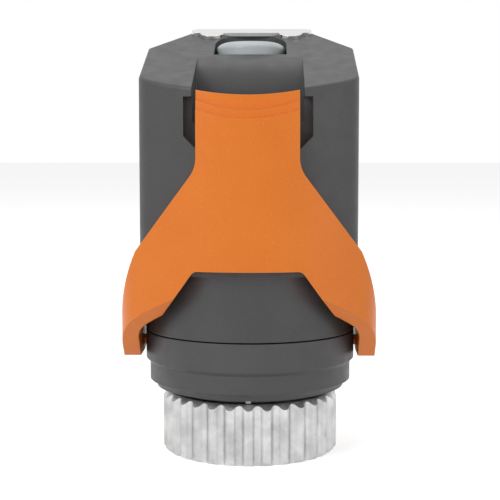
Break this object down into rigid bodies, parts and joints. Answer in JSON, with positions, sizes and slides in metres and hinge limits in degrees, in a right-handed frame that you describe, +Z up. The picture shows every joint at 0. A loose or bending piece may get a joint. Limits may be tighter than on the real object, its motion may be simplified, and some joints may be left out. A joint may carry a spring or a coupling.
{
  "type": "motorised actuator head",
  "caption": "Dark grey motorised valve actuator head with an orange clamp lever, a round base ring and a fluted metal union nut below.",
  "frame": {"origin": "centre of the union nut's mouth, on the valve's axis", "axes": "+Z up along the valve's axis, -Y the front with the clamp lever, +X to the right seen from the front"},
  "size_m": [0.0506, 0.0457, 0.0878],
  "materials": {
    "housing_grey": "fine moulded grain, dark grey",
    "base_grey": "fine moulded grain, dark grey",
    "lever_orange": "satin moulded orange",
    "nut_metal": "die-cast, frosted",
    "neck_black": "moulded black",
    "indicator_grey": "light grey, smooth",
    "seal_rubber": "smooth rubber",
    "inner_plastic": "natural moulded",
    "screw_steel": "zinc-plated",
    "bush_bronze": "sintered bronze",
    "gear_plastic": "natural acetal",
    "core_steel": "stacked sheet steel",
    "copper": "copper",
    "can_steel": "drawn sheet steel",
    "magnet_black": "sintered ferrite",
    "spindle_steel": "turned steel",
    "board_green": "laminate with solder mask",
    "clip_chrome": "bright stamped stainless steel"
  },
  "bodies": {
    "head": {"upper_housing": "housing_grey", "base_ring": "base_grey", "neck_sleeve": "neck_black", "lock_ring": "neck_black", "index_tab": "indicator_grey", "base_gasket": "seal_rubber", "bottom_plate": "inner_plastic", "housing_screws": "screw_steel", "gearbox_top_plate": "inner_plastic", "gearbox_posts": "screw_steel", "gearbox_screws": "screw_steel", "thrust_bush": "bush_bronze", "gear_axles": "screw_steel", "motor_can": "can_steel", "motor_magnets": "magnet_black", "motor_bushes": "bush_bronze", "motor_end_cap": "neck_black", "motor_brushes": "copper", "motor_terminals": "copper", "circuit_board": "board_green", "control_chip": "neck_black", "board_capacitor": "can_steel", "board_header": "gear_plastic", "inlet_socket": "neck_black", "inlet_contacts": "copper", "inlet_gasket": "seal_rubber", "roof_clip": "clip_chrome"},
    "nut": {"union_nut": "nut_metal"},
    "lever": {"clamp_lever": "lever_orange"},
    "rotor": {"rotor_shaft": "screw_steel", "rotor_core": "core_steel", "commutator": "copper", "motor_pinion": "bush_bronze"},
    "gear_one": {"first_gear": "gear_plastic"},
    "gear_two": {"second_gear": "gear_plastic"},
    "gear_drive": {"drive_gear": "gear_plastic"},
    "plunger": {"spindle": "spindle_steel", "plunger_tip": "spindle_steel", "indicator_rod": "inner_plastic", "position_indicator": "indicator_grey"}
  },
  "joints": [
    {"name": "nut_turn", "type": "hinge", "parent": "head", "child": "nut", "pos_m": [0, 0, 0], "axis": [0, 0, 1], "continuous": true},
    {"name": "lever_swing", "type": "hinge", "parent": "head", "child": "lever", "pos_m": [0, 0, 0.0279], "axis": [1, 0, 0], "range_deg": [0, 50]},
    {"name": "rotor_spin", "type": "hinge", "parent": "head", "child": "rotor", "pos_m": [-0.01201, -0.00001, 0], "axis": [0, 0, 1], "range_deg": [-13520, 0]},
    {"name": "first_gear_spin", "type": "hinge", "parent": "head", "child": "gear_one", "pos_m": [-0.0083, 0.00873, 0], "axis": [0, 0, 1], "range_deg": [0, 6240]},
    {"name": "second_gear_spin", "type": "hinge", "parent": "head", "child": "gear_two", "pos_m": [0.00063, 0.01198, 0], "axis": [0, 0, 1], "range_deg": [-2880, 0]},
    {"name": "drive_gear_spin", "type": "hinge", "parent": "head", "child": "gear_drive", "pos_m": [0, 0, 0], "axis": [0, 0, 1], "range_deg": [0, 960]},
    {"name": "plunger_slide", "type": "slide", "parent": "head", "child": "plunger", "axis": [0, 0, -1], "range_m": [0, 0.004]}
  ],
  "couplings": [
    {"joint": "drive_gear_spin", "follows": "plunger_slide", "rad_per_m": 4188.8},
    {"joint": "second_gear_spin", "follows": "plunger_slide", "rad_per_m": -12566},
    {"joint": "first_gear_spin", "follows": "plunger_slide", "rad_per_m": 27227},
    {"joint": "rotor_spin", "follows": "plunger_slide", "rad_per_m": -58992}
  ]
}
